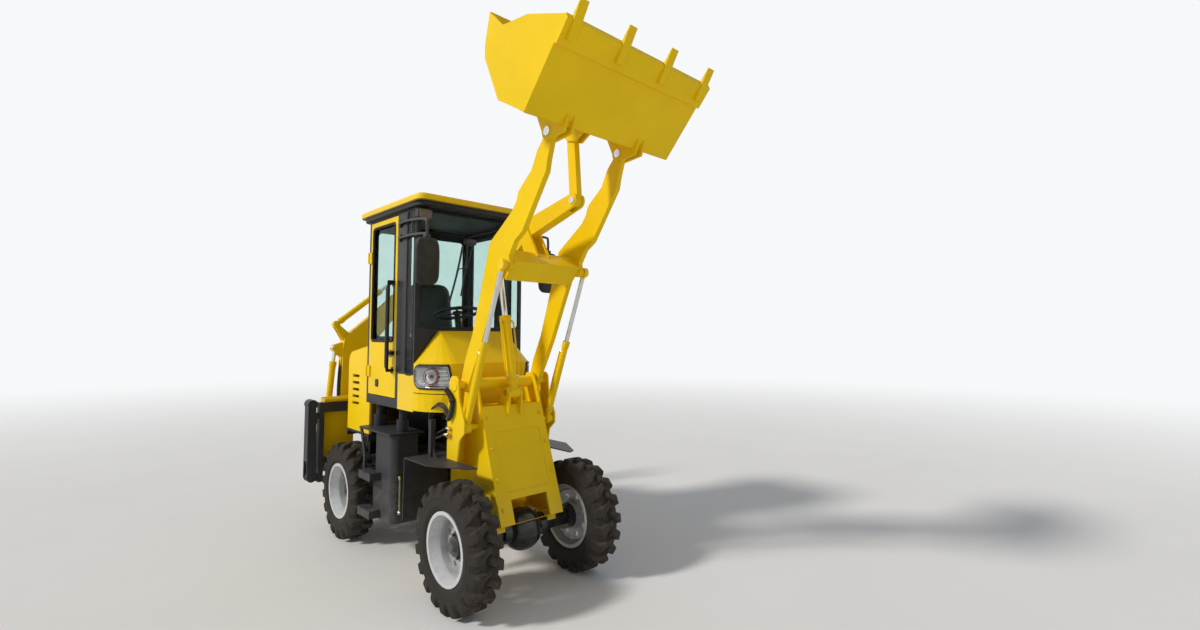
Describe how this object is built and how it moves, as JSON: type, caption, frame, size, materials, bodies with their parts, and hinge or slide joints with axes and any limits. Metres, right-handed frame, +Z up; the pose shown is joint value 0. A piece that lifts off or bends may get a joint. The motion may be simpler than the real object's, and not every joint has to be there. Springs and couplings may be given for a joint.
{
  "type": "backhoe loader",
  "caption": "Compact articulated backhoe loader with raised bucket, cab, lugged tyres and a side-shift backhoe folded across the rear.",
  "frame": {"origin": "centre of the footprint on the ground", "axes": "+X forward, +Y to the machine's left, +Z up"},
  "size_m": [3.954, 1.454, 3.669],
  "materials": {
    "yellow_paint": "satin",
    "dark_paint": "satin",
    "dark_glass": "gloss",
    "black_plastic": "matte",
    "seat_cover": "matte",
    "tyre_rubber": "matte",
    "silver_paint": "satin",
    "chrome_rod": "polished"
  },
  "bodies": {
    "chassis": {"rear_frame": "dark_paint", "engine_block": "dark_paint", "side_tanks": "dark_paint", "rear_axle": "dark_paint", "cab_shell": "dark_paint", "cab_roof": "yellow_paint", "cab_glass": "dark_glass", "nose": "yellow_paint", "headlamps": "black_plastic", "mirrors": "dark_paint", "rear_hood": "yellow_paint", "seat": "seat_cover", "steering_wheel": "black_plastic", "backhoe_frame": "dark_paint"},
    "front_frame": {"front_frame": "yellow_paint", "front_axle": "dark_paint", "front_mudguards": "dark_paint"},
    "door_right": {"door_right": "yellow_paint", "door_right_glass": "dark_glass"},
    "door_left": {"door_left": "yellow_paint", "door_left_glass": "dark_glass"},
    "wheel_front_right": {"tyre_front_right": "tyre_rubber", "rim_front_right": "silver_paint"},
    "wheel_front_left": {"tyre_front_left": "tyre_rubber", "rim_front_left": "silver_paint"},
    "wheel_rear_right": {"tyre_rear_right": "tyre_rubber", "rim_rear_right": "silver_paint"},
    "wheel_rear_left": {"tyre_rear_left": "tyre_rubber", "rim_rear_left": "silver_paint"},
    "loader_arms": {"loader_arms": "yellow_paint"},
    "lift_barrels": {"lift_barrels": "yellow_paint"},
    "lift_rods": {"lift_rods": "chrome_rod"},
    "bucket_pins": {"bucket_pins": "chrome_rod"},
    "loader_bucket": {"loader_bucket": "yellow_paint"},
    "crank_pin": {"crank_pin": "chrome_rod"},
    "bell_crank": {"bell_crank": "yellow_paint"},
    "link_pin": {"link_pin": "chrome_rod"},
    "bucket_link": {"bucket_link": "yellow_paint"},
    "tilt_pin": {"tilt_pin": "chrome_rod"},
    "tilt_barrel": {"tilt_barrel": "yellow_paint"},
    "tilt_rod": {"tilt_rod": "chrome_rod"},
    "carriage": {"carriage": "yellow_paint"},
    "swing_post": {"swing_post": "yellow_paint"},
    "boom": {"boom": "yellow_paint"},
    "boom_barrel": {"boom_barrel": "yellow_paint"},
    "boom_rod": {"boom_rod": "chrome_rod"},
    "dipper": {"dipper": "yellow_paint"},
    "dipper_barrel": {"dipper_barrel": "yellow_paint"},
    "dipper_rod": {"dipper_rod": "chrome_rod"},
    "digging_bucket": {"digging_bucket": "yellow_paint"},
    "bucket_barrel": {"bucket_barrel": "yellow_paint"},
    "bucket_rod": {"bucket_rod": "chrome_rod"},
    "bucket_rocker": {"bucket_rocker": "yellow_paint"},
    "rocker_link": {"rocker_link": "yellow_paint"},
    "stabiliser_right": {"stabiliser_right": "dark_paint"},
    "stabiliser_left": {"stabiliser_left": "dark_paint"},
    "stay_barrel_right": {"stay_barrel_right": "dark_paint"},
    "stay_barrel_left": {"stay_barrel_left": "dark_paint"},
    "stay_rod_right": {"stay_rod_right": "chrome_rod"},
    "stay_rod_left": {"stay_rod_left": "chrome_rod"}
  },
  "joints": [
    {"name": "steering", "type": "hinge", "parent": "chassis", "child": "front_frame", "pos_m": [-0.18846, 0, 0.6], "axis": [0, 0, 1], "range_deg": [-30, 30]},
    {"name": "wheel_front_right", "type": "hinge", "parent": "front_frame", "child": "wheel_front_right", "pos_m": [0.74154, -0.5, 0.405], "axis": [0, 1, 0], "continuous": true},
    {"name": "wheel_front_left", "type": "hinge", "parent": "front_frame", "child": "wheel_front_left", "pos_m": [0.74154, 0.5, 0.405], "axis": [0, 1, 0], "continuous": true},
    {"name": "wheel_rear_right", "type": "hinge", "parent": "chassis", "child": "wheel_rear_right", "pos_m": [-1.10846, -0.5, 0.405], "axis": [0, 1, 0], "continuous": true},
    {"name": "wheel_rear_left", "type": "hinge", "parent": "chassis", "child": "wheel_rear_left", "pos_m": [-1.10846, 0.5, 0.405], "axis": [0, 1, 0], "continuous": true},
    {"name": "door_right", "type": "hinge", "parent": "chassis", "child": "door_right", "pos_m": [-0.80246, -0.494, 1.97], "axis": [0, 0, -1], "range_deg": [0, 95]},
    {"name": "door_left", "type": "hinge", "parent": "chassis", "child": "door_left", "pos_m": [-0.80246, 0.494, 1.97], "axis": [0, 0, 1], "range_deg": [0, 95]},
    {"name": "loader_lift", "type": "hinge", "parent": "front_frame", "child": "loader_arms", "pos_m": [0.48154, 0, 1.4], "axis": [0, 1, 0], "range_deg": [0, 104]},
    {"name": "lift_barrels", "type": "hinge", "parent": "front_frame", "child": "lift_barrels", "pos_m": [0.57754, 0, 1.117], "axis": [0, 1, 0], "range_deg": [0, 102.13]},
    {"name": "lift_rods", "type": "slide", "parent": "lift_barrels", "child": "lift_rods", "axis": [0.3557, 0, 0.9346], "range_m": [-0.47389, 0]},
    {"name": "bucket_levelling", "type": "hinge", "parent": "loader_arms", "child": "bucket_pins", "pos_m": [1.41654, 0, 2.96], "axis": [0, 1, 0], "range_deg": [-91.71, 0]},
    {"name": "bucket_tilt", "type": "hinge", "parent": "bucket_pins", "child": "loader_bucket", "pos_m": [1.41654, 0, 2.96], "axis": [0, -1, 0], "range_deg": [-85, 0]},
    {"name": "crank_pin_turn", "type": "hinge", "parent": "loader_arms", "child": "crank_pin", "pos_m": [0.79154, 0, 2.487], "axis": [0, 1, 0], "range_deg": [0, 28.12]},
    {"name": "crank_turn", "type": "hinge", "parent": "crank_pin", "child": "bell_crank", "pos_m": [0.79154, 0, 2.487], "axis": [0, -1, 0], "range_deg": [0, 19.09]},
    {"name": "link_pin_turn", "type": "hinge", "parent": "bell_crank", "child": "link_pin", "pos_m": [1.29754, 0, 2.615], "axis": [0, 1, 0], "range_deg": [-21.93, 0]},
    {"name": "link_turn", "type": "hinge", "parent": "link_pin", "child": "bucket_link", "pos_m": [1.29754, 0, 2.615], "axis": [0, -1, 0], "range_deg": [-61.48, 0]},
    {"name": "tilt_pin_turn", "type": "hinge", "parent": "front_frame", "child": "tilt_pin", "pos_m": [0.62154, 0, 1.34], "axis": [0, 1, 0], "range_deg": [0, 106.15]},
    {"name": "tilt_barrel_turn", "type": "hinge", "parent": "tilt_pin", "child": "tilt_barrel", "pos_m": [0.62154, 0, 1.34], "axis": [0, -1, 0], "range_deg": [-6.06, 0]},
    {"name": "tilt_rod", "type": "slide", "parent": "tilt_barrel", "child": "tilt_rod", "axis": [-0.204, 0, 0.979], "range_m": [-0.11642, 0]},
    {"name": "carriage", "type": "slide", "parent": "chassis", "child": "carriage", "axis": [0, 1, 0], "range_m": [0, 0.86]},
    {"name": "swing", "type": "hinge", "parent": "carriage", "child": "swing_post", "pos_m": [-1.82896, -0.43, 0.75], "axis": [0, 0, 1], "range_deg": [0, 180]},
    {"name": "boom_lift", "type": "hinge", "parent": "swing_post", "child": "boom", "pos_m": [-1.82896, -0.31, 0.72], "axis": [-1, 0, 0], "range_deg": [0, 85]},
    {"name": "boom_barrel", "type": "hinge", "parent": "swing_post", "child": "boom_barrel", "pos_m": [-1.82896, -0.462, 0.985], "axis": [-1, 0, 0], "range_deg": [0, 90.23]},
    {"name": "boom_rod", "type": "slide", "parent": "boom_barrel", "child": "boom_rod", "axis": [0, 0.0861, 0.9963], "range_m": [0, 0.40756]},
    {"name": "dipper_reach", "type": "hinge", "parent": "boom", "child": "dipper", "pos_m": [-1.82896, 0.315, 2.21], "axis": [1, 0, 0], "range_deg": [0, 95]},
    {"name": "dipper_barrel", "type": "hinge", "parent": "boom", "child": "dipper_barrel", "pos_m": [-1.82896, -0.4, 1.85], "axis": [1, 0, 0], "range_deg": [-9.36, 0]},
    {"name": "dipper_rod", "type": "slide", "parent": "dipper_barrel", "child": "dipper_rod", "axis": [0, 0.7752, 0.6317], "range_m": [-0.26122, 0]},
    {"name": "digging_curl", "type": "hinge", "parent": "dipper", "child": "digging_bucket", "pos_m": [-1.82896, 0.255, 1.15], "axis": [1, 0, 0], "range_deg": [0, 110]},
    {"name": "rocker_turn", "type": "hinge", "parent": "dipper", "child": "bucket_rocker", "pos_m": [-1.82896, 0.275, 1.4], "axis": [1, 0, 0], "range_deg": [0, 87.7]},
    {"name": "rocker_link_turn", "type": "hinge", "parent": "bucket_rocker", "child": "rocker_link", "pos_m": [-1.82896, 0.405, 1.29], "axis": [1, 0, 0], "range_deg": [-94.36, 0]},
    {"name": "bucket_barrel", "type": "hinge", "parent": "dipper", "child": "bucket_barrel", "pos_m": [-1.82896, 0.39, 2.04], "axis": [1, 0, 0], "range_deg": [-1.1, 0]},
    {"name": "bucket_rod", "type": "slide", "parent": "bucket_barrel", "child": "bucket_rod", "axis": [0, 0.02, -0.9998], "range_m": [-0.23584, 0]},
    {"name": "stabiliser_right", "type": "hinge", "parent": "chassis", "child": "stabiliser_right", "pos_m": [-1.57846, -0.68, 0.45], "axis": [1, 0, 0], "range_deg": [0, 110]},
    {"name": "stay_barrel_right", "type": "hinge", "parent": "chassis", "child": "stay_barrel_right", "pos_m": [-1.57846, -0.645, 1], "axis": [1, 0, 0], "range_deg": [-10.55, 0]},
    {"name": "stay_rod_right", "type": "slide", "parent": "stay_barrel_right", "child": "stay_rod_right", "axis": [0, -0.097, -0.9953], "range_m": [0, 0.2284]},
    {"name": "stabiliser_left", "type": "hinge", "parent": "chassis", "child": "stabiliser_left", "pos_m": [-1.57846, 0.68, 0.45], "axis": [-1, 0, 0], "range_deg": [0, 110]},
    {"name": "stay_barrel_left", "type": "hinge", "parent": "chassis", "child": "stay_barrel_left", "pos_m": [-1.57846, 0.645, 1], "axis": [-1, 0, 0], "range_deg": [-10.55, 0]},
    {"name": "stay_rod_left", "type": "slide", "parent": "stay_barrel_left", "child": "stay_rod_left", "axis": [0, 0.097, -0.9953], "range_m": [0, 0.2284]}
  ],
  "couplings": [
    {"joint": "lift_barrels", "follows": "loader_lift", "ratio": 0.98},
    {"joint": "lift_rods", "follows": "loader_lift", "m_per_rad": -0.2605},
    {"joint": "bucket_levelling", "follows": "loader_lift", "ratio": -0.88},
    {"joint": "crank_pin_turn", "follows": "loader_lift", "ratio": 0.26983},
    {"joint": "crank_turn", "follows": "bucket_tilt", "ratio": -0.22403},
    {"joint": "link_pin_turn", "follows": "loader_lift", "ratio": -0.21042},
    {"joint": "link_turn", "follows": "bucket_tilt", "ratio": 0.72184},
    {"joint": "tilt_pin_turn", "follows": "loader_lift", "ratio": 1.0186},
    {"joint": "tilt_barrel_turn", "follows": "bucket_tilt", "ratio": 0.07104},
    {"joint": "tilt_rod", "follows": "bucket_tilt", "m_per_rad": 0.07825},
    {"joint": "boom_barrel", "follows": "boom_lift", "ratio": 1.0594},
    {"joint": "boom_rod", "follows": "boom_lift", "m_per_rad": 0.27411},
    {"joint": "dipper_barrel", "follows": "dipper_reach", "ratio": -0.09823},
    {"joint": "dipper_rod", "follows": "dipper_reach", "m_per_rad": -0.15717},
    {"joint": "rocker_turn", "follows": "digging_curl", "ratio": 0.79563},
    {"joint": "rocker_link_turn", "follows": "digging_curl", "ratio": -0.85604},
    {"joint": "bucket_barrel", "follows": "digging_curl", "ratio": -0.00989},
    {"joint": "bucket_rod", "follows": "digging_curl", "m_per_rad": -0.12254},
    {"joint": "stay_barrel_right", "follows": "stabiliser_right", "ratio": -0.09569},
    {"joint": "stay_rod_right", "follows": "stabiliser_right", "m_per_rad": 0.11868},
    {"joint": "stay_barrel_left", "follows": "stabiliser_left", "ratio": -0.09569},
    {"joint": "stay_rod_left", "follows": "stabiliser_left", "m_per_rad": 0.11868}
  ]
}
